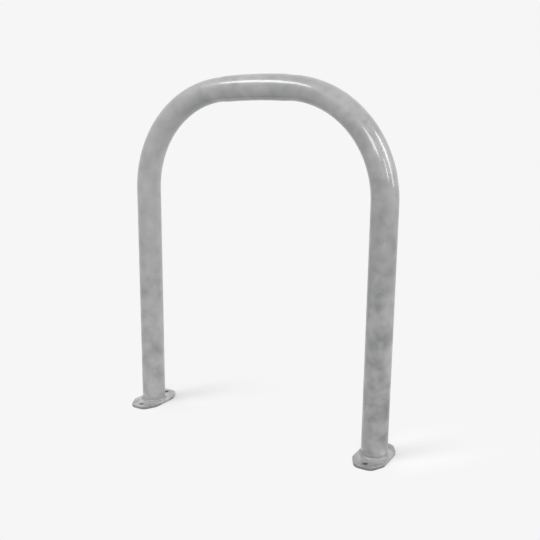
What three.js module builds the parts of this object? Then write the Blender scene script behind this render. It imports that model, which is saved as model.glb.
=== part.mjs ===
// A hoop bike rack for a pavement: one bent steel tube standing on two bolt-down base plates, held by a fillet weld
// round each foot and hot-dip galvanised as a whole. Millimetres, +Z up. The hoop stands in the XZ plane, and the
// origin is on the ground midway between its legs.
import * as THREE from "three";

// The hoop, bent from one length of round tube.
const TUBE_DIAMETER = 63.5;
const TUBE_WALL = 4;
const LEG_SPACING = 675;
const OVERALL_HEIGHT = 896;
const BEND_RADIUS = 256;
const CROWN_RADIUS = 1400;

// The tube flattens where it is bent. Its depth in the hoop's plane shrinks by a share that grows along each bend,
// and the shallow crown between them keeps a smaller one.
const BEND_FLAT_SHARE = 0.075;
const CROWN_FLAT_SHARE = 0.03;

// Each base plate: a long octagon across the hoop, with an anchor hole at each end and a drain hole under the tube,
// where the zinc runs out. The plate is set out from the tube, so that the weld and the anchors keep their room. The
// side margin runs from the tube to the long side, the reach from the tube to an anchor hole's centre, the end
// margin from there to the plate's end, and the land is what the drain hole leaves inside the tube's bore.
const PLATE_THICKNESS = 8;
const PLATE_SIDE_MARGIN = 8.9;
const PLATE_END_MARGIN = 18;
const PLATE_CUT_LENGTH = 35.5;
const PLATE_CUT_WIDTH = 19;
const PLATE_CORNER_RADIUS = 22;
const ANCHOR_REACH = 23.4;
const ANCHOR_HOLE_DIAMETER = 13;
const DRAIN_HOLE_LAND = 9.75;

// The fillet weld, laid as a row of overlapping ripples.
const WELD_LEG = 6;
const WELD_CROWN = 0.9;
const WELD_RIPPLE_DEPTH = 0.45;
const WELD_RIPPLE_PITCH = 7;
const WELD_FIT_GAP = 0.3;

// How finely the round stretches are cut into flats.
const TUBE_SIDES = 40;
const BEND_STEPS = 20;
const CROWN_STEPS = 5;
const OUTLINE_STEPS = 10;
const WELD_FACE_STEPS = 4;
const STEPS_PER_RIPPLE = 4;

const TUBE_RADIUS = TUBE_DIAMETER / 2;
const BORE_DIAMETER = TUBE_DIAMETER - 2 * TUBE_WALL;
const ANCHOR_PITCH = TUBE_DIAMETER + 2 * ANCHOR_REACH;
const PLATE_LENGTH = ANCHOR_PITCH + 2 * PLATE_END_MARGIN;
const PLATE_WIDTH = TUBE_DIAMETER + 2 * PLATE_SIDE_MARGIN;
const DRAIN_HOLE_DIAMETER = BORE_DIAMETER - 2 * DRAIN_HOLE_LAND;
const ZINC = { color: 0x9fa2a1, metalness: 0.35 };

// The tube's axis as a row of stations, each with its true tangent. A straight leg takes a single step, and every
// ring of the swept tube stands square to the axis.
class StationCurve extends THREE.Curve {
  constructor(stations) {
    super();
    this.stations = stations;
  }
  stationAt(u) {
    return this.stations[Math.round(u * (this.stations.length - 1))];
  }
  getPointAt(u) {
    return this.stationAt(u).point.clone();
  }
  getTangentAt(u) {
    return this.stationAt(u).tangent.clone();
  }
}

// heading is the axis's angle from upright: 0 in the left leg, a quarter turn at the crown, a half turn in the right.
function station(x, z, heading, flatShare) {
  return {
    point: new THREE.Vector3(x, 0, z),
    tangent: new THREE.Vector3(Math.sin(heading), 0, Math.cos(heading)),
    flatShare,
  };
}

// Left foot to crown: a straight leg, a bend, and half of the shallow crown arc that the bend runs into.
function leftHalfStations() {
  const legX = -LEG_SPACING / 2;
  const crownZ = OVERALL_HEIGHT - TUBE_RADIUS * (1 - CROWN_FLAT_SHARE);
  const bendAngle = Math.acos((LEG_SPACING / 2 - BEND_RADIUS) / (CROWN_RADIUS - BEND_RADIUS));
  const crownSag = CROWN_RADIUS * (1 - Math.sin(bendAngle));
  const shoulderZ = crownZ - crownSag - BEND_RADIUS * Math.sin(bendAngle);
  const stations = [station(legX, PLATE_THICKNESS, 0, 0)];
  for (let i = 0; i <= BEND_STEPS; i++) {
    const heading = (bendAngle * i) / BEND_STEPS;
    const x = legX + BEND_RADIUS * (1 - Math.cos(heading));
    const z = shoulderZ + BEND_RADIUS * Math.sin(heading);
    stations.push(station(x, z, heading, (BEND_FLAT_SHARE * i) / BEND_STEPS));
  }
  for (let i = 1; i <= CROWN_STEPS; i++) {
    const heading = bendAngle + ((Math.PI / 2 - bendAngle) * i) / CROWN_STEPS;
    const x = -CROWN_RADIUS * Math.cos(heading);
    const z = crownZ - CROWN_RADIUS * (1 - Math.sin(heading));
    stations.push(station(x, z, heading, CROWN_FLAT_SHARE));
  }
  return stations;
}

function mirrored({ point, tangent, flatShare }) {
  return {
    point: new THREE.Vector3(-point.x, 0, point.z),
    tangent: new THREE.Vector3(tangent.x, 0, -tangent.z),
    flatShare,
  };
}

function circle(Outline, diameter, x = 0, y = 0) {
  const outline = new Outline();
  outline.absarc(x, y, diameter / 2, 0, 2 * Math.PI, false);
  return outline;
}

function hoopTube() {
  const left = leftHalfStations();
  const right = left.slice(0, -1).reverse().map(mirrored);
  const axis = new StationCurve([...left, ...right]);
  const section = circle(THREE.Shape, TUBE_DIAMETER);
  section.holes.push(circle(THREE.Path, BORE_DIAMETER));
  const tube = new THREE.ExtrudeGeometry(section, {
    extrudePath: axis,
    steps: axis.stations.length - 1,
    curveSegments: TUBE_SIDES / 2,
  });
  flatten(tube, axis.stations);
  return tube;
}

// Draws each ring of the tube in towards the axis by its station's share, in the hoop's plane and not across it. A
// ring's points all lie nearest to its own station.
function flatten(tube, stations) {
  const position = tube.getAttribute("position");
  const corner = new THREE.Vector3();
  const fromCorner = ({ point }) => point.distanceToSquared(corner);
  for (let i = 0; i < position.count; i++) {
    corner.fromBufferAttribute(position, i);
    const { point, flatShare } = stations.reduce((best, other) =>
      fromCorner(other) < fromCorner(best) ? other : best);
    const x = corner.x + (point.x - corner.x) * flatShare;
    const z = corner.z + (point.z - corner.z) * flatShare;
    position.setXYZ(i, x, corner.y, z);
  }
  tube.computeVertexNormals();
}

// A closed outline round convex corners given counter-clockwise, each rounded by an arc tangent to its two edges.
function roundedOutline(corners, radius) {
  const outline = new THREE.Shape();
  corners.forEach((corner, i) => {
    const toBefore = corners.at(i - 1).clone().sub(corner).normalize();
    const toAfter = corners[(i + 1) % corners.length].clone().sub(corner).normalize();
    const inward = toBefore.clone().add(toAfter).normalize();
    const halfAngle = Math.acos(toBefore.dot(toAfter)) / 2;
    const centre = corner.clone().addScaledVector(inward, radius / Math.sin(halfAngle));
    const middle = inward.negate().angle();
    const halfSweep = Math.PI / 2 - halfAngle;
    outline.absarc(centre.x, centre.y, radius, middle - halfSweep, middle + halfSweep, false);
  });
  outline.closePath();
  return outline;
}

function basePlate() {
  const quarter = [
    new THREE.Vector2(PLATE_WIDTH / 2, PLATE_LENGTH / 2 - PLATE_CUT_LENGTH),
    new THREE.Vector2(PLATE_WIDTH / 2 - PLATE_CUT_WIDTH, PLATE_LENGTH / 2),
  ];
  const corners = [
    ...quarter,
    ...quarter.map((p) => new THREE.Vector2(-p.x, p.y)).reverse(),
    ...quarter.map((p) => new THREE.Vector2(-p.x, -p.y)),
    ...quarter.map((p) => new THREE.Vector2(p.x, -p.y)).reverse(),
  ];
  const outline = roundedOutline(corners, PLATE_CORNER_RADIUS);
  outline.holes.push(circle(THREE.Path, DRAIN_HOLE_DIAMETER));
  for (const side of [-1, 1]) {
    outline.holes.push(circle(THREE.Path, ANCHOR_HOLE_DIAMETER, 0, (side * ANCHOR_PITCH) / 2));
  }
  return new THREE.ExtrudeGeometry(outline, {
    depth: PLATE_THICKNESS,
    bevelEnabled: false,
    curveSegments: OUTLINE_STEPS,
  });
}

// The weld bead is turned as a ring and then rippled: its face swells and sinks once for each ripple, while the two
// sides that lie on the tube and the plate stay true.
function weldBead() {
  const innerRadius = TUBE_RADIUS + WELD_FIT_GAP;
  const ripples = Math.round((Math.PI * TUBE_DIAMETER) / WELD_RIPPLE_PITCH);
  const profile = [new THREE.Vector2(innerRadius, 0)];
  for (let i = 0; i <= WELD_FACE_STEPS; i++) {
    const share = i / WELD_FACE_STEPS;
    const swell = WELD_CROWN * Math.sin(Math.PI * share);
    const out = WELD_LEG * (1 - share) + swell * Math.SQRT1_2;
    const up = WELD_LEG * share + swell * Math.SQRT1_2;
    profile.push(new THREE.Vector2(innerRadius + out, up));
  }
  profile.push(profile[0].clone());
  const bead = new THREE.LatheGeometry(profile, ripples * STEPS_PER_RIPPLE);
  const position = bead.getAttribute("position");
  for (let i = 0; i < position.count; i++) {
    const x = position.getX(i);
    const up = position.getY(i);
    const z = position.getZ(i);
    const radius = Math.hypot(x, z);
    const wave = Math.abs(Math.sin((Math.atan2(z, x) * ripples) / 2));
    const reach = (radius - innerRadius) / WELD_LEG;
    const rippled = radius - WELD_RIPPLE_DEPTH * (1 - wave) * reach;
    position.setXYZ(i, (x * rippled) / radius, up, (z * rippled) / radius);
  }
  bead.rotateX(Math.PI / 2);
  return bead;
}

function piece(name, geometry, roughness) {
  const mesh = new THREE.Mesh(geometry, new THREE.MeshStandardMaterial({ ...ZINC, roughness }));
  mesh.name = name;
  return mesh;
}

const rack = new THREE.Group();
rack.add(piece("hoop_tube", hoopTube(), 0.35));
for (const [side, sign] of [["left", -1], ["right", 1]]) {
  const foot = new THREE.Group();
  foot.position.x = (sign * LEG_SPACING) / 2;
  foot.add(piece(`${side}_base_plate`, basePlate(), 0.45));
  const weld = piece(`${side}_weld_bead`, weldBead(), 0.4);
  weld.position.z = PLATE_THICKNESS;
  foot.add(weld);
  rack.add(foot);
}

export default rack;
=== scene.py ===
import math

import bmesh
import bpy
from mathutils import Matrix, Vector


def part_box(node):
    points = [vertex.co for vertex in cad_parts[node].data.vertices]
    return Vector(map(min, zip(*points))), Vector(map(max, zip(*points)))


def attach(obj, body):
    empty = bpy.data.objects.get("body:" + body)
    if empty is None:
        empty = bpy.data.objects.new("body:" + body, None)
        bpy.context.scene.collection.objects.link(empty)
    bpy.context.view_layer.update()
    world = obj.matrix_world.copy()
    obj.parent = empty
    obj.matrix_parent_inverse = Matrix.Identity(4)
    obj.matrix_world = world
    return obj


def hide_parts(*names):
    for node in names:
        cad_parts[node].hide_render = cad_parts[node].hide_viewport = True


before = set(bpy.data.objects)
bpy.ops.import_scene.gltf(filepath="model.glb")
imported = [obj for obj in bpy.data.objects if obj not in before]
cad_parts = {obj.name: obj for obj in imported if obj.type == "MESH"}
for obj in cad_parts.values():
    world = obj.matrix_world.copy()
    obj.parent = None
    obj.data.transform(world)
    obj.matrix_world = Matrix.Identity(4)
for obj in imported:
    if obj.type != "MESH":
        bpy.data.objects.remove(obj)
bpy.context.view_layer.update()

# A galvanised hoop bike rack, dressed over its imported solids. Metres, +Z up. The hoop stands in the XZ plane, and
# the origin is on the ground midway between its legs.

MM = 0.001

# The hoop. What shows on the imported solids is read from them, and the rest repeats the part's own sizes.
TUBE_LOW, TUBE_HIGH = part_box("hoop_tube")
TUBE_RADIUS = TUBE_HIGH.y
LEG_X = TUBE_HIGH.x - TUBE_RADIUS
FEET = {"left": -LEG_X, "right": LEG_X}
TUBE_WALL = 4 * MM
BEND_RADIUS = 256 * MM
CROWN_RADIUS = 1400 * MM

# The tube flattens in the hoop's plane along each bend, and the crown keeps a smaller share of that. Past the end of
# a bend, one share runs into the other over the fade.
BEND_FLAT_SHARE = 0.075
CROWN_FLAT_SHARE = 0.03
FLAT_FADE = 20 * MM
CROWN_Z = TUBE_HIGH.z - TUBE_RADIUS * (1 - CROWN_FLAT_SHARE)

# The base plates: long octagons with rounded corners, an anchor hole at each end and a drain hole under the tube.
PLATE_LOW, PLATE_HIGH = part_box("right_base_plate")
PLATE_THICKNESS = PLATE_HIGH.z
PLATE_HALF_WIDTH = (PLATE_HIGH.x - PLATE_LOW.x) / 2
PLATE_HALF_LENGTH = PLATE_HIGH.y
PLATE_CUT_LENGTH = 35.5 * MM
PLATE_CUT_WIDTH = 19 * MM
PLATE_CORNER_RADIUS = 22 * MM
PLATE_EDGE_ROUNDING = 1.4 * MM
ANCHOR_Y = 55.15 * MM
ANCHOR_HOLE_RADIUS = 6.5 * MM
DRAIN_HOLE_RADIUS = 18 * MM

# The weld beads. A crown below zero makes the face hollow, and the seat is how far a bead is sunk into the tube and
# the plate. Each ripple is drawn in at its ends and bent by the chevron, and the unevenness is the share by which
# one may be larger or smaller.
WELD_LEG = 5.2 * MM
WELD_CROWN = -0.9 * MM
WELD_SEAT = 0.2 * MM
WELD_RIPPLES = 28
WELD_DRAW_IN = 0.05
WELD_CHEVRON = 0.9
WELD_UNEVENNESS = 0.02

# Points closer together than this are made one, on a finished surface and along the hoop's line.
MERGE = 0.01 * MM
LINE_MERGE = 0.05 * MM

# The camera that fits the photographed outline: where it stands in metres, and its angles in degrees.
CAMERA_PLACE = (0.8878, -1.4460, 0.7649)
CAMERA_HEADING = 30.269
CAMERA_TILT_DOWN = 11.492
CAMERA_ROLL = 0.599
CAMERA_SENSOR_MM = 36
CAMERA_LENS_MM = 45.858

# How far the painted light reaches out of the corner of tube and plate, where it lightens the zinc to cancel the
# shade that falls in that corner.
PAINTED_CORNER_LIGHT_REACH = 24 * MM

# How bright the room and the floor look. The picture's background is this level, 1 being white.
PALE = 0.9216


def place_camera():
    """Fitted to the outline of the hoop in a 540 x 540 picture."""
    data = bpy.data.cameras.new("camera")
    data.sensor_width = CAMERA_SENSOR_MM
    data.lens = CAMERA_LENS_MM
    data.clip_end = 100
    camera = bpy.data.objects.new("camera", data)
    bpy.context.scene.collection.objects.link(camera)
    heading = Matrix.Rotation(math.radians(CAMERA_HEADING), 4, "Z")
    tilt = Matrix.Rotation(math.radians(90 - CAMERA_TILT_DOWN), 4, "X")
    roll = Matrix.Rotation(math.radians(CAMERA_ROLL), 4, "Z")
    camera.matrix_world = Matrix.Translation(CAMERA_PLACE) @ heading @ tilt @ roll
    bpy.context.scene.camera = camera


# Small helpers for node trees.

def add(tree, kind, values=None, **settings):
    """Adds a node, then fills its inputs: a socket is linked and anything else is set."""
    made = tree.nodes.new(kind)
    for name, value in settings.items():
        setattr(made, name, value)
    for name, value in (values or {}).items():
        if isinstance(value, bpy.types.NodeSocket):
            tree.links.new(value, made.inputs[name])
        else:
            made.inputs[name].default_value = value
    return made


def maths(tree, operation, first, second=0.0, third=0.0, clamp=False):
    made = add(tree, "ShaderNodeMath", {0: first, 1: second, 2: third}, operation=operation, use_clamp=clamp)
    return made.outputs[0]


def spread(tree, value, span, ends, smooth=False):
    """Runs from the first end to the second while value crosses the span, and stays level beyond it."""
    made = add(tree, "ShaderNodeMapRange", {
        "Value": value, "From Min": span[0], "From Max": span[1], "To Min": ends[0], "To Max": ends[1],
    }, interpolation_type="SMOOTHSTEP" if smooth else "LINEAR")
    return made.outputs[0]


def vector(tree, x=0.0, y=0.0, z=0.0):
    return add(tree, "ShaderNodeCombineXYZ", {"X": x, "Y": y, "Z": z}).outputs[0]


def split(tree, joined):
    """The X, Y and Z of a vector."""
    return add(tree, "ShaderNodeSeparateXYZ", {"Vector": joined}).outputs


def vector_maths(tree, operation, first, second=(0.0, 0.0, 0.0), third=(0.0, 0.0, 0.0)):
    """Gives a number for a length or a dot product, and a vector for everything else."""
    made = add(tree, "ShaderNodeVectorMath", {0: first, 1: second, 2: third}, operation=operation)
    return made.outputs["Value" if operation in ("LENGTH", "DOT_PRODUCT") else "Vector"]


def scaled(tree, joined, factor):
    return add(tree, "ShaderNodeVectorMath", {0: joined, "Scale": factor}, operation="SCALE").outputs[0]


def join(tree, *parts):
    joined = add(tree, "GeometryNodeJoinGeometry")
    for part in parts:
        tree.links.new(part, joined.inputs[0])
    return joined.outputs[0]


def emptied_tree(owner):
    """The node tree of a material or a world, with nothing in it yet."""
    owner.use_nodes = True
    owner.node_tree.nodes.clear()
    return owner.node_tree


def shape_tree(name, inputs):
    """A Geometry Nodes tree with named inputs and one geometry output. Gives the tree and its group input node."""
    tree = bpy.data.node_groups.new(name, "GeometryNodeTree")
    tree.interface.new_socket("Geometry", in_out="OUTPUT", socket_type="NodeSocketGeometry")
    for label, kind in inputs.items():
        tree.interface.new_socket(label, in_out="INPUT", socket_type=kind)
    return tree, tree.nodes.new("NodeGroupInput")


def finish_tree(tree, geometry, material):
    """Ends a tree with real geometry in one material."""
    realized = add(tree, "GeometryNodeRealizeInstances", {"Geometry": geometry})
    painted = add(tree, "GeometryNodeSetMaterial", {"Geometry": realized.outputs[0], "Material": material})
    add(tree, "NodeGroupOutput", {"Geometry": painted.outputs[0]})


def grow(name, tree, values):
    """Runs a tree with these values and keeps its result as a plain mesh object at the origin."""
    seed = bpy.data.objects.new(name + "_seed", bpy.data.meshes.new(name + "_seed"))
    modifier = seed.modifiers.new("grow", "NODES")
    modifier.node_group = tree
    for item in tree.interface.items_tree:
        if item.in_out == "INPUT" and item.name in values:
            modifier[item.identifier] = values[item.name]
    bpy.context.scene.collection.objects.link(seed)
    mesh = evaluated_mesh(seed, name)
    bpy.data.objects.remove(seed)
    return piece(name, mesh)


def evaluated_mesh(source, name):
    graph = bpy.context.evaluated_depsgraph_get()
    mesh = bpy.data.meshes.new_from_object(source.evaluated_get(graph), depsgraph=graph)
    mesh.name = name
    return mesh


def piece(name, mesh):
    made = bpy.data.objects.new(name, mesh)
    bpy.context.scene.collection.objects.link(made)
    return made


def close_up(mesh):
    """Merges doubled points and turns every face outwards."""
    work = bmesh.new()
    work.from_mesh(mesh)
    bmesh.ops.remove_doubles(work, verts=work.verts, dist=MERGE)
    bmesh.ops.recalc_face_normals(work, faces=work.faces)
    work.to_mesh(mesh)
    work.free()


# Zinc as it comes out of the bath: cloudy patches with smaller dabs among them, faint crystals and a low relief. The
# shares say how much of the tone each marking makes, and the scales are per metre.
CLOUD_SHARE = 0.50
DAB_SHARE = 0.44
CRYSTAL_SHARE = 0.06
DAB_FINENESS = 2.0
WANDER_SCALE = 34.0
WANDER_REACH = 12 * MM
SWELL_SCALE = 45.0
SKIN_SCALE = 260.0
SKIN_RELIEF = 0.10
CRYSTAL_RELIEF = 0.03

# The tones that get the darkest and the lightest grey.
DARKEST_TONE = 0.20
LIGHTEST_TONE = 0.80

# Heights in metres over which the patches calm down, and over which the zinc is painted lighter towards the bends and
# the crown, as painted light. And the uprightness of a surface's normal over which the painted shade on a plate's
# upright sides gives way to its top.
CALM_HEIGHTS = (0.2, 0.5)
TOP_LIGHT_HEIGHTS = (0.5, 0.75)
RIM_SHADE_TO_TOP = (0.2, 0.75)

# How metallic the zinc is, how far a crystal is smoother or rougher than the rest, and its bright skin: how strongly
# that reflects, and what share of the relief shows in it.
METALLIC = 0.18
SMOOTHER, ROUGHER = 0.05, 0.07
SKIN_IOR = 1.9
SKIN_SHARE = 0.12


def zinc_clouds():
    """Node group: Tone is the light and dark of the patches, Crystal the level of each crystal, Height the relief."""
    tree = bpy.data.node_groups.new("zinc clouds", "ShaderNodeTree")
    for label in ("Tone", "Crystal", "Height"):
        tree.interface.new_socket(label, in_out="OUTPUT", socket_type="NodeSocketFloat")
    for label, kind in (("Vector", "NodeSocketVector"), ("Patch Scale", "NodeSocketFloat"),
                        ("Crystal Scale", "NodeSocketFloat")):
        tree.interface.new_socket(label, in_out="INPUT", socket_type=kind)
    given = tree.nodes.new("NodeGroupInput").outputs
    wander = add(tree, "ShaderNodeTexNoise", {"Vector": given["Vector"], "Scale": WANDER_SCALE, "Detail": 2.0})
    bent = vector_maths(tree, "MULTIPLY_ADD", wander.outputs["Color"], [WANDER_REACH] * 3, given["Vector"])
    clouds = add(tree, "ShaderNodeTexNoise", {"Vector": bent, "Scale": given["Patch Scale"], "Detail": 2.0,
                                              "Roughness": 0.5, "Distortion": 0.4})
    dab_scale = maths(tree, "MULTIPLY", given["Patch Scale"], DAB_FINENESS)
    dabs = add(tree, "ShaderNodeTexNoise", {"Vector": bent, "Scale": dab_scale, "Detail": 1.0, "Roughness": 0.5})
    crystals = add(tree, "ShaderNodeTexVoronoi", {"Vector": bent, "Scale": given["Crystal Scale"]}, feature="F1")
    level = add(tree, "ShaderNodeSeparateColor", {"Color": crystals.outputs["Color"]}).outputs[0]
    tone = maths(tree, "MULTIPLY_ADD", clouds.outputs["Fac"], CLOUD_SHARE,
                 maths(tree, "MULTIPLY_ADD", dabs.outputs["Fac"], DAB_SHARE,
                       maths(tree, "MULTIPLY", level, CRYSTAL_SHARE)))
    skin = add(tree, "ShaderNodeTexNoise", {"Vector": given["Vector"], "Scale": SKIN_SCALE, "Detail": 2.0})
    swell = add(tree, "ShaderNodeTexNoise", {"Vector": given["Vector"], "Scale": SWELL_SCALE, "Detail": 1.0})
    height = maths(tree, "ADD", swell.outputs["Fac"],
                   maths(tree, "MULTIPLY_ADD", skin.outputs["Fac"], SKIN_RELIEF,
                         maths(tree, "MULTIPLY", level, CRYSTAL_RELIEF)))
    add(tree, "NodeGroupOutput", {"Tone": tone, "Crystal": level, "Height": height})
    return tree


def corner_distance(tree, here):
    """How far a point is from the corner that the nearer leg makes with its plate."""
    out_x = maths(tree, "SUBTRACT", maths(tree, "ABSOLUTE", here["X"]), LEG_X)
    radius = vector_maths(tree, "LENGTH", vector(tree, out_x, here["Y"]))
    off_tube = maths(tree, "SUBTRACT", radius, TUBE_RADIUS)
    off_plate = maths(tree, "SUBTRACT", here["Z"], PLATE_THICKNESS)
    return vector_maths(tree, "LENGTH", vector(tree, off_tube, z=off_plate))


def zinc_finish(name, clouds, *, dark, light, patch, crystal, offset, relief, roughness, coat_roughness,
                painted_side_light=(1.0, 1.0), vividness=(1.0, 1.0), calm=1.0, painted_rim_shade=1.0, painted_top_light=1.0, painted_corner_light=1.0, coat=0.6):
    """One zinc surface. dark and light are its two greys, patch and crystal the sizes of its markings in metres, and
    offset moves the markings. painted_side_light is painted light and shade: how much lighter or darker the zinc is
    made at the left and right of the rack, as if the room lit one side more. vividness is how strong its patches are
    there, and calm how strong they stay high up. painted_top_light is painted light: how much lighter the bends and
    the crown are made than the legs. painted_rim_shade is painted shade: how much darker the upright edges are made.
    painted_corner_light is painted light: how much lighter the zinc is made in the corner of tube and plate, to cancel
    the shade that falls there. coat is how much bright skin it has."""
    material = bpy.data.materials.new(name)
    tree = emptied_tree(material)
    place = add(tree, "ShaderNodeTexCoord").outputs
    here, facing = split(tree, place["Object"]), split(tree, place["Normal"])
    moved = add(tree, "ShaderNodeMapping", {"Vector": place["Object"], "Location": offset}).outputs[0]
    zinc = add(tree, "ShaderNodeGroup", {"Vector": moved, "Patch Scale": 1 / patch, "Crystal Scale": 1 / crystal},
               node_tree=clouds).outputs

    vivid = spread(tree, here["X"], (-LEG_X, LEG_X), vividness)
    calmer = spread(tree, here["Z"], CALM_HEIGHTS, (1.0, calm))
    tone = maths(tree, "MULTIPLY_ADD", maths(tree, "SUBTRACT", zinc["Tone"], 0.5),
                 maths(tree, "MULTIPLY", vivid, calmer), 0.5)
    greys = add(tree, "ShaderNodeValToRGB", {"Fac": tone})
    low, high = greys.color_ramp.elements
    low.position, low.color = DARKEST_TONE, (*dark, 1)
    high.position, high.color = LIGHTEST_TONE, (*light, 1)

    # Painted light and shade: lighter at the rack's left and darker at its right, as if the room lit one side more.
    painted_side_shading = spread(tree, here["X"], (-LEG_X, LEG_X), painted_side_light)
    # Painted shade: upright faces, such as a plate's sides and the walls of its holes, are made darker.
    painted_rim_shading = spread(tree, maths(tree, "ABSOLUTE", facing["Z"]), RIM_SHADE_TO_TOP, (painted_rim_shade, 1.0))
    # Painted light: the zinc is made lighter higher up, on the bends and the crown.
    painted_top_lightening = spread(tree, here["Z"], TOP_LIGHT_HEIGHTS, (1.0, painted_top_light), smooth=True)
    # Painted light: the zinc is made lighter near the corner of tube and plate, to cancel the shade that falls there.
    corner = spread(tree, corner_distance(tree, here), (0.0, PAINTED_CORNER_LIGHT_REACH), (painted_corner_light, 1.0), smooth=True)
    # The painted light and shade, multiplied together, scale the zinc's greys.
    painted_light_and_shade = maths(tree, "MULTIPLY", maths(tree, "MULTIPLY", painted_top_lightening, corner), maths(tree, "MULTIPLY", painted_side_shading, painted_rim_shading))
    tinted = scaled(tree, greys.outputs["Color"], painted_light_and_shade)

    rough = spread(tree, zinc["Crystal"], (0.0, 1.0), (roughness - SMOOTHER, roughness + ROUGHER))
    bump = add(tree, "ShaderNodeBump", {"Height": zinc["Height"], "Strength": 1.0, "Distance": relief})
    skin_bump = add(tree, "ShaderNodeBump", {"Height": zinc["Height"], "Strength": 1.0,
                                             "Distance": relief * SKIN_SHARE})
    surface = add(tree, "ShaderNodeBsdfPrincipled", {
        "Base Color": tinted, "Roughness": rough, "Normal": bump.outputs[0], "Metallic": METALLIC,
        "Coat Weight": coat, "Coat Roughness": coat_roughness, "Coat IOR": SKIN_IOR,
        "Coat Normal": skin_bump.outputs[0],
    })
    add(tree, "ShaderNodeOutputMaterial", {"Surface": surface.outputs[0]})
    return material


# The hoop: leg, bend and crown arcs joined into one line, swept, flattened and given its wall.

def hoop_tree(material):
    number, whole = "NodeSocketFloat", "NodeSocketInt"
    tree, given = shape_tree("hoop", {
        "Leg X": number, "Foot Height": number, "Shoulder Height": number, "Crown Height": number,
        "Bend Radius": number, "Bend Angle": number, "Crown Radius": number, "Tube Radius": number,
        "Bend Flat": number, "Crown Flat": number, "Flat Fade": number,
        "Leg Steps": whole, "Bend Steps": whole, "Crown Steps": whole, "Sides": whole,
    })
    size = given.outputs
    left_x = maths(tree, "MULTIPLY", size["Leg X"], -1.0)

    def upright_arc(radius, start, sweep, steps, centre):
        arc = add(tree, "GeometryNodeCurveArc", {"Radius": radius, "Start Angle": start, "Sweep Angle": sweep,
                                                 "Resolution": steps}, mode="RADIUS")
        return add(tree, "GeometryNodeTransform", {"Geometry": arc.outputs["Curve"], "Translation": centre,
                                                   "Rotation": (math.pi / 2, 0, 0)}).outputs[0]

    leg = add(tree, "GeometryNodeCurvePrimitiveLine", {"Start": vector(tree, left_x, z=size["Foot Height"]),
                                                       "End": vector(tree, left_x, z=size["Shoulder Height"])})
    leg_points = maths(tree, "ADD", size["Leg Steps"], 1.0)
    leg = add(tree, "GeometryNodeResampleCurve", {"Curve": leg.outputs["Curve"], "Count": leg_points})
    bend_x = maths(tree, "ADD", left_x, size["Bend Radius"])
    bend = upright_arc(size["Bend Radius"], math.pi, maths(tree, "MULTIPLY", size["Bend Angle"], -1.0),
                       size["Bend Steps"], vector(tree, bend_x, z=size["Shoulder Height"]))
    half_span = maths(tree, "SUBTRACT", math.pi / 2, size["Bend Angle"])
    crown_centre = vector(tree, z=maths(tree, "SUBTRACT", size["Crown Height"], size["Crown Radius"]))
    crown = upright_arc(size["Crown Radius"], maths(tree, "ADD", half_span, math.pi / 2),
                        maths(tree, "MULTIPLY", half_span, -2.0), size["Crown Steps"], crown_centre)
    side = join(tree, leg.outputs["Curve"], bend)
    other_side = add(tree, "GeometryNodeTransform", {"Geometry": side, "Scale": (-1, 1, 1)})
    whole_line = join(tree, side, crown, other_side.outputs[0])
    edges = add(tree, "GeometryNodeCurveToMesh", {"Curve": whole_line})
    joined = add(tree, "GeometryNodeMergeByDistance", {"Geometry": edges.outputs[0], "Distance": LINE_MERGE})
    line = add(tree, "GeometryNodeMeshToCurve", {"Mesh": joined.outputs[0]})

    # How flat the tube is at each point of the line, from how far the line has turned out of its leg.
    here = add(tree, "GeometryNodeInputPosition").outputs[0]
    in_from_leg = maths(tree, "SUBTRACT", size["Leg X"], maths(tree, "ABSOLUTE", split(tree, here)["X"]))
    in_by_radius = maths(tree, "DIVIDE", in_from_leg, size["Bend Radius"], clamp=True)
    turned = maths(tree, "ARCCOSINE", maths(tree, "SUBTRACT", 1.0, in_by_radius))
    growing = maths(tree, "MULTIPLY", size["Bend Flat"], maths(tree, "DIVIDE", turned, size["Bend Angle"]))
    end_by_radius = maths(tree, "SUBTRACT", 1.0, maths(tree, "COSINE", size["Bend Angle"]))
    bend_end = maths(tree, "MULTIPLY", size["Bend Radius"], end_by_radius)
    fade_end = maths(tree, "ADD", bend_end, size["Flat Fade"])
    fading = spread(tree, in_from_leg, (bend_end, fade_end), (size["Bend Flat"], size["Crown Flat"]))
    flat = maths(tree, "MINIMUM", growing, fading)

    # The axis and the share are carried over to each point of the swept skin, which is drawn in by them.
    on_axis = add(tree, "GeometryNodeStoreNamedAttribute", {"Geometry": line.outputs[0], "Name": "axis",
                                                            "Value": here}, data_type="FLOAT_VECTOR")
    marked = add(tree, "GeometryNodeStoreNamedAttribute", {"Geometry": on_axis.outputs[0], "Name": "flat",
                                                           "Value": flat}, data_type="FLOAT")
    ring = add(tree, "GeometryNodeCurvePrimitiveCircle", {"Resolution": size["Sides"],
                                                          "Radius": size["Tube Radius"]})
    skin = add(tree, "GeometryNodeCurveToMesh", {"Curve": marked.outputs[0], "Profile Curve": ring.outputs[0]})
    axis = add(tree, "GeometryNodeInputNamedAttribute", {"Name": "axis"}, data_type="FLOAT_VECTOR").outputs[0]
    share = add(tree, "GeometryNodeInputNamedAttribute", {"Name": "flat"}, data_type="FLOAT").outputs[0]
    inward = vector_maths(tree, "SUBTRACT", axis, here)
    in_plane = vector_maths(tree, "MULTIPLY", inward, (1, 0, 1))
    drawn_in = scaled(tree, in_plane, share)
    flattened = add(tree, "GeometryNodeSetPosition", {"Geometry": skin.outputs[0], "Offset": drawn_in})
    smooth = add(tree, "GeometryNodeSetShadeSmooth", {"Geometry": flattened.outputs[0]})
    finish_tree(tree, smooth.outputs[0], material)
    return tree


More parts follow.
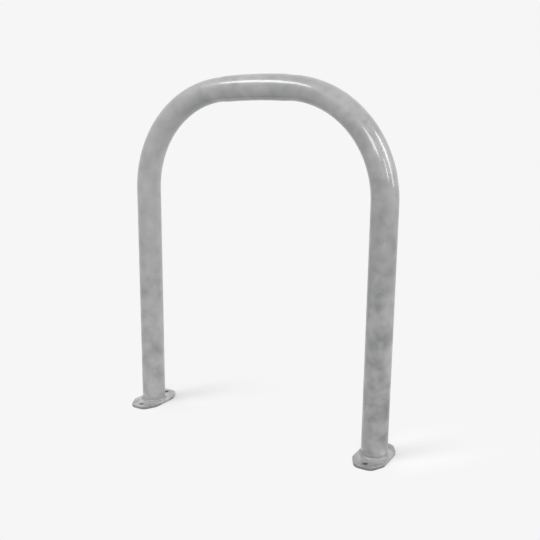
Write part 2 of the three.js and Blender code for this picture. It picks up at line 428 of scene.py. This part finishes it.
def make_hoop(material):
    bend_angle = math.acos((LEG_X - BEND_RADIUS) / (CROWN_RADIUS - BEND_RADIUS))
    crown_sag = CROWN_RADIUS * (1 - math.sin(bend_angle))
    shoulder = CROWN_Z - crown_sag - BEND_RADIUS * math.sin(bend_angle)
    hoop = grow("galvanised_hoop", hoop_tree(material), {
        "Leg X": LEG_X, "Foot Height": TUBE_LOW.z, "Shoulder Height": shoulder, "Crown Height": CROWN_Z,
        "Bend Radius": BEND_RADIUS, "Bend Angle": bend_angle, "Crown Radius": CROWN_RADIUS,
        "Tube Radius": TUBE_RADIUS, "Bend Flat": BEND_FLAT_SHARE, "Crown Flat": CROWN_FLAT_SHARE,
        "Flat Fade": FLAT_FADE, "Leg Steps": 30, "Bend Steps": 72, "Crown Steps": 60, "Sides": 96,
    })
    turn_outwards(hoop.data)
    wall = hoop.modifiers.new("wall", "SOLIDIFY")
    wall.thickness = TUBE_WALL
    wall.offset = -1
    wall.use_even_offset = True
    walled = evaluated_mesh(hoop, "galvanised_hoop")
    hoop.modifiers.remove(wall)
    hoop.data = walled
    for face in walled.polygons:
        lies_on_plate = face.center.z < TUBE_LOW.z + 0.1 * MM
        face.use_smooth = not lies_on_plate
    return hoop


def turn_outwards(mesh):
    """Turns an open tube's faces away from its axis, judged at the lowest ring of a leg."""
    face = min(mesh.polygons, key=lambda f: f.center.z)
    axis = Vector((math.copysign(LEG_X, face.center.x), 0, face.center.z))
    if face.normal.dot(face.center - axis) < 0:
        mesh.flip_normals()


# The base plates: flat octagons with rounded corners, holes and softened edges.

def rounded_corners(corners, radius, steps=10):
    outline = []
    for i, corner in enumerate(corners):
        before, after = corners[i - 1], corners[(i + 1) % len(corners)]
        to_before, to_after = (before - corner).normalized(), (after - corner).normalized()
        inward = (to_before + to_after).normalized()
        half_angle = to_before.angle(to_after) / 2
        centre = corner + inward * (radius / math.sin(half_angle))
        middle = math.atan2(-inward.y, -inward.x)
        sweep = math.pi / 2 - half_angle
        for k in range(steps + 1):
            angle = middle + sweep * (2 * k / steps - 1)
            outline.append(centre + radius * Vector((math.cos(angle), math.sin(angle))))
    return outline


def plate_corners():
    side = Vector((PLATE_HALF_WIDTH, PLATE_HALF_LENGTH - PLATE_CUT_LENGTH))
    end = Vector((PLATE_HALF_WIDTH - PLATE_CUT_WIDTH, PLATE_HALF_LENGTH))
    return [Vector((sx * p.x, sy * p.y))
            for p, sx, sy in ((side, 1, 1), (end, 1, 1), (end, -1, 1), (side, -1, 1),
                              (side, -1, -1), (end, -1, -1), (end, 1, -1), (side, 1, -1))]


def hole(radius, y=0.0, steps=48):
    return [Vector((radius * math.cos(a), y + radius * math.sin(a)))
            for a in (2 * math.pi * k / steps for k in range(steps))]


def make_plate(name, foot_x, material):
    outline = bpy.data.curves.new(name, "CURVE")
    outline.dimensions = "2D"
    outline.fill_mode = "BOTH"
    outline.extrude = PLATE_THICKNESS / 2 - PLATE_EDGE_ROUNDING
    outline.bevel_depth = PLATE_EDGE_ROUNDING
    outline.bevel_resolution = 3
    outline.offset = -PLATE_EDGE_ROUNDING
    loops = [rounded_corners(plate_corners(), PLATE_CORNER_RADIUS), hole(DRAIN_HOLE_RADIUS),
             hole(ANCHOR_HOLE_RADIUS, ANCHOR_Y), hole(ANCHOR_HOLE_RADIUS, -ANCHOR_Y)]
    for loop in loops:
        spline = outline.splines.new("POLY")
        spline.points.add(len(loop) - 1)
        for target, point in zip(spline.points, loop):
            target.co = (point.x, point.y, 0, 1)
        spline.use_cyclic_u = True
    flat = bpy.data.objects.new(name + "_outline", outline)
    bpy.context.scene.collection.objects.link(flat)
    mesh = evaluated_mesh(flat, name)
    bpy.data.objects.remove(flat)
    mesh.transform(Matrix.Translation((foot_x, 0, PLATE_THICKNESS / 2)))
    close_up(mesh)
    for face in mesh.polygons:
        is_level = abs(face.normal.z) >= 0.999
        face.use_smooth = not is_level
    mesh.materials.clear()
    mesh.materials.append(material)
    return piece(name, mesh)


# The weld beads: a fillet section carried round the tube, drawn in between one ripple and the next.

def weld_tree(material):
    number, whole = "NodeSocketFloat", "NodeSocketInt"
    tree, given = shape_tree("weld bead", {
        "Foot X": number, "Seat Height": number, "Inner Radius": number, "Leg": number, "Crown": number,
        "Ripples": whole, "Steps per Ripple": whole, "Draw In": number, "Chevron": number, "Seed": whole,
    })
    size = given.outputs
    down_leg = maths(tree, "MULTIPLY", size["Leg"], -1.0)
    belly = maths(tree, "MULTIPLY_ADD", size["Crown"], math.sqrt(2), maths(tree, "MULTIPLY", size["Leg"], 0.5))
    down_belly = maths(tree, "MULTIPLY", belly, -1.0)
    on_plate, on_tube = vector(tree, size["Leg"]), vector(tree, y=down_leg)
    face = add(tree, "GeometryNodeCurveQuadraticBezier", {
        "Resolution": 12, "Start": on_plate, "Middle": vector(tree, belly, down_belly), "End": on_tube})
    tube_side = add(tree, "GeometryNodeCurvePrimitiveLine", {"Start": on_tube, "End": (0, 0, 0)})
    plate_side = add(tree, "GeometryNodeCurvePrimitiveLine", {"Start": (0, 0, 0), "End": on_plate})
    section = join(tree, face.outputs["Curve"], tube_side.outputs["Curve"], plate_side.outputs["Curve"])
    steps = maths(tree, "MULTIPLY", size["Ripples"], size["Steps per Ripple"])
    ring = add(tree, "GeometryNodeCurvePrimitiveCircle", {"Resolution": steps, "Radius": size["Inner Radius"]})
    swept = add(tree, "GeometryNodeCurveToMesh", {"Curve": ring.outputs[0], "Profile Curve": section})
    closed = add(tree, "GeometryNodeMergeByDistance", {"Geometry": swept.outputs[0], "Distance": MERGE})

    # Where each point is round the tube, and how far through its ripple. A ripple's line bows sideways between the
    # plate and the tube.
    here = split(tree, add(tree, "GeometryNodeInputPosition").outputs[0])
    angle = maths(tree, "ARCTAN2", here["Y"], here["X"])
    radius = maths(tree, "SQRT", maths(tree, "MULTIPLY_ADD", here["X"], here["X"],
                                       maths(tree, "MULTIPLY", here["Y"], here["Y"])))
    climb = maths(tree, "DIVIDE", here["Z"], size["Leg"])
    bow = maths(tree, "MULTIPLY", maths(tree, "SINE", maths(tree, "MULTIPLY", climb, math.pi)), size["Chevron"])
    phase = maths(tree, "MULTIPLY_ADD", angle, maths(tree, "MULTIPLY", size["Ripples"], 0.5), bow)
    wave = maths(tree, "ABSOLUTE", maths(tree, "SINE", phase))
    ripple_number = maths(tree, "FLOOR", maths(tree, "DIVIDE", phase, math.pi))
    wrapped = maths(tree, "FLOORED_MODULO", ripple_number, size["Ripples"])
    chance = add(tree, "FunctionNodeRandomValue", {
        2: -WELD_UNEVENNESS, 3: WELD_UNEVENNESS, "ID": wrapped, "Seed": size["Seed"],
    }, data_type="FLOAT")
    swell = maths(tree, "MULTIPLY", wave, chance.outputs[1])
    pinch = maths(tree, "MULTIPLY", size["Draw In"], maths(tree, "SUBTRACT", 1.0, wave))
    share = maths(tree, "SUBTRACT", maths(tree, "ADD", swell, 1.0), pinch)
    reach = maths(tree, "MULTIPLY", maths(tree, "SUBTRACT", radius, size["Inner Radius"]), share)
    new_radius = maths(tree, "ADD", size["Inner Radius"], reach)
    new_x = maths(tree, "MULTIPLY_ADD", maths(tree, "COSINE", angle), new_radius, size["Foot X"])
    new_y = maths(tree, "MULTIPLY", maths(tree, "SINE", angle), new_radius)
    new_z = maths(tree, "MULTIPLY_ADD", here["Z"], share, size["Seat Height"])
    rippled = add(tree, "GeometryNodeSetPosition", {"Geometry": closed.outputs[0],
                                                    "Position": vector(tree, new_x, new_y, new_z)})
    smooth = add(tree, "GeometryNodeSetShadeSmooth", {"Geometry": rippled.outputs[0]})
    finish_tree(tree, smooth.outputs[0], material)
    return tree


def make_weld(name, tree, foot_x, seed):
    bead = grow(name, tree, {
        "Foot X": foot_x, "Seat Height": PLATE_THICKNESS - WELD_SEAT, "Inner Radius": TUBE_RADIUS - WELD_SEAT,
        "Leg": WELD_LEG, "Crown": WELD_CROWN, "Ripples": WELD_RIPPLES, "Steps per Ripple": 10,
        "Draw In": WELD_DRAW_IN, "Chevron": WELD_CHEVRON, "Seed": seed,
    })
    close_up(bead.data)
    return bead


# The studio: a pale floor and room, a high softbox at the front left, and a softbox and three strips at the front
# and the right.

# The way from which the room lights things most, and the way that shadows fall on the floor.
BRIGHT_SIDE = (0.90, 0.44, 0.0)
SHADOW_WAY = (0.62, 0.79, 0.0)

# How far the floor reaches, where the band that shows a leg's shadow sets in along it, and where it fades out beside
# it, all in metres. Under a plate the floor is truly lit within this share of the plate's length and width.
FLOOR_HALF = 30.0
BAND_START = (-0.03, 0.06)
BAND_SIDE = (0.05, 0.13)
UNDER_PLATE = 0.86


def pale_to_the_eye(tree):
    """1 for rays from the camera, a glossy surface or glass, and 0 for the light that falls on things."""
    path = add(tree, "ShaderNodeLightPath").outputs
    either = maths(tree, "MAXIMUM", path["Is Camera Ray"], path["Is Glossy Ray"])
    return maths(tree, "MAXIMUM", either, path["Is Transmission Ray"])


def light_room(left, right, horizon, zenith):
    """The room looks evenly pale. It lights things more from the right than from the left, and by these factors at
    the horizon and straight above."""
    world = bpy.data.worlds.new("room")
    bpy.context.scene.world = world
    tree = emptied_tree(world)
    place = add(tree, "ShaderNodeTexCoord").outputs["Generated"]
    side, up = vector_maths(tree, "DOT_PRODUCT", place, BRIGHT_SIDE), split(tree, place)["Z"]
    lighting = maths(tree, "MULTIPLY", spread(tree, side, (-1.0, 1.0), (left, right)),
                     spread(tree, up, (0.0, 1.0), (horizon, zenith)))
    level = spread(tree, pale_to_the_eye(tree), (0.0, 1.0), (lighting, PALE))
    background = add(tree, "ShaderNodeBackground", {"Color": (1, 1, 1, 1), "Strength": level})
    add(tree, "ShaderNodeOutputWorld", {"Surface": background.outputs[0]})


def lay_floor(albedo, shadow_share, near_reach, far_reach, lit_level):
    """A floor that looks as pale as the room. Behind each foot, along the way that shadows fall, a share of its light
    is real and shows the shadow: all of the share within near_reach of a leg's axis and none past far_reach.
    lit_level is how bright that real light makes a white floor with no shadow on it, so that the two meet without a
    seam. albedo is what the floor gives back to the rack."""
    mesh = bpy.data.meshes.new("floor")
    half = FLOOR_HALF
    mesh.from_pydata([(-half, -half, 0), (half, -half, 0), (half, half, 0), (-half, half, 0)], [], [(0, 1, 2, 3)])
    floor = piece("floor", mesh)
    material = bpy.data.materials.new("pale floor")
    tree = emptied_tree(material)
    place = add(tree, "ShaderNodeTexCoord").outputs["Object"]

    shadows, covers = [], []
    for x in FEET.values():
        away = vector_maths(tree, "SUBTRACT", place, (x, 0, 0))
        distance = vector_maths(tree, "LENGTH", away)
        behind = vector_maths(tree, "DOT_PRODUCT", away, SHADOW_WAY)
        off_line = vector_maths(tree, "LENGTH", vector_maths(tree, "CROSS_PRODUCT", away, SHADOW_WAY))
        band = maths(tree, "MULTIPLY", spread(tree, behind, BAND_START, (0.0, 1.0), smooth=True),
                     spread(tree, off_line, BAND_SIDE, (1.0, 0.0), smooth=True))
        near = spread(tree, distance, (near_reach, far_reach), (shadow_share, 0.0), smooth=True)
        shadows.append(maths(tree, "MULTIPLY", near, band))
        by_plate = vector_maths(tree, "MULTIPLY", away, (1 / PLATE_HALF_WIDTH, 1 / PLATE_HALF_LENGTH, 0))
        covers.append(maths(tree, "LESS_THAN", vector_maths(tree, "LENGTH", by_plate), UNDER_PLATE))
    share = maths(tree, "MAXIMUM", maths(tree, "MAXIMUM", *shadows), maths(tree, "MAXIMUM", *covers))
    lit = add(tree, "ShaderNodeBsdfDiffuse", {"Color": [PALE / lit_level] * 3 + [1]})
    glow = add(tree, "ShaderNodeEmission", {"Color": (PALE, PALE, PALE, 1), "Strength": 1.0})
    seen = add(tree, "ShaderNodeMixShader", {0: share, 1: glow.outputs[0], 2: lit.outputs[0]})
    plain = add(tree, "ShaderNodeBsdfDiffuse", {"Color": (albedo, albedo, albedo, 1)})
    surface = add(tree, "ShaderNodeMixShader", {0: pale_to_the_eye(tree), 1: plain.outputs[0], 2: seen.outputs[0]})
    add(tree, "ShaderNodeOutputMaterial", {"Surface": surface.outputs[0]})
    mesh.materials.append(material)


def softbox(name, seen_from, azimuth, elevation, distance, width, height, strength, diffuse=1.0, shape="RECTANGLE"):
    """A lamp that faces seen_from, distance metres off. The angles are in degrees, and width and height are those
    that it fills from there. Azimuth is from -Y towards +X. strength is how bright its face is, and diffuse how much
    of that lights a dull surface."""
    a, e = math.radians(azimuth), math.radians(elevation)
    direction = Vector((math.sin(a) * math.cos(e), -math.cos(a) * math.cos(e), math.sin(e)))
    data = bpy.data.lights.new(name, "AREA")
    data.shape = shape
    data.size = 2 * distance * math.tan(math.radians(width) / 2)
    data.size_y = 2 * distance * math.tan(math.radians(height) / 2)
    data.energy = strength * math.pi * data.size * data.size_y
    data.diffuse_factor = diffuse
    lamp = bpy.data.objects.new(name, data)
    bpy.context.scene.collection.objects.link(lamp)
    lamp.location = Vector(seen_from) + direction * distance
    lamp.rotation_euler = (-direction).to_track_quat("-Z", "Y").to_euler()


def light_studio():
    """The room and the lamps. Each lamp faces the stretch of tube that shows its streak."""
    light_room(left=0.56, right=0.98, horizon=1.36, zenith=0.54)
    crown = (0.020, -0.025, 0.880)
    softbox("high_softbox", crown, azimuth=-36.8, elevation=42.2, distance=6.0, width=27, height=17.5, strength=4.4,
            diffuse=0.55, shape="ELLIPSE")
    shoulder = (0.338, -0.018, 0.720)
    softbox("right_softbox", shoulder, azimuth=98, elevation=35.5, distance=4.0, width=15, height=22, strength=5.5)
    softbox("right_strip", shoulder, azimuth=99, elevation=15, distance=4.0, width=13, height=18, strength=4.0)
    softbox("front_strip", shoulder, azimuth=22, elevation=24.5, distance=4.0, width=17, height=14.5, strength=5.0,
            diffuse=0.3)
    softbox("corner_strip", shoulder, azimuth=60, elevation=17, distance=4.0, width=4.5, height=16, strength=7.4,
            diffuse=0.4)


# The rack, put together.

def put_on(piece_, node):
    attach(piece_, "root")
    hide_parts(node)


place_camera()
clouds = zinc_clouds()
# The side, top, rim and corner settings below paint light and shade into the zinc's colour.
tube_zinc = zinc_finish("zinc on the tube", clouds, dark=(0.179, 0.198, 0.195), light=(0.520, 0.509, 0.507),
                        patch=0.060, crystal=0.013, offset=(0.6, 0.5, 1.9), relief=0.00025,
                        roughness=0.40, coat_roughness=0.035, painted_side_light=(1.16, 0.93), vividness=(0.9, 1.6), calm=0.5,
                        painted_top_light=1.13, painted_corner_light=1.9)
plate_zinc = zinc_finish("zinc on the plates", clouds, dark=(0.207, 0.222, 0.218), light=(0.520, 0.517, 0.510),
                         patch=0.030, crystal=0.010, offset=(3.1, 1.7, 0.4), relief=0.0003,
                         roughness=0.42, coat_roughness=0.10, painted_side_light=(1.13, 0.82), painted_rim_shade=0.60, painted_corner_light=1.55)
weld_zinc = zinc_finish("zinc on the welds", clouds, dark=(0.272, 0.287, 0.282), light=(0.452, 0.449, 0.443),
                        patch=0.020, crystal=0.006, offset=(5.3, 2.9, 1.1), relief=0.0002,
                        roughness=0.46, coat_roughness=0.10, painted_side_light=(0.97, 0.98), coat=0.20)

put_on(make_hoop(tube_zinc), "hoop_tube")
weld = weld_tree(weld_zinc)
for seed, (side, foot_x) in enumerate(FEET.items(), start=3):
    put_on(make_plate(f"{side}_foot_plate", foot_x, plate_zinc), f"{side}_base_plate")
    put_on(make_weld(f"{side}_foot_weld", weld, foot_x, seed), f"{side}_weld_bead")

lay_floor(albedo=0.27, shadow_share=0.98, near_reach=0.10, far_reach=0.42, lit_level=0.88)
light_studio()

bpy.context.scene.view_settings.view_transform = "Standard"
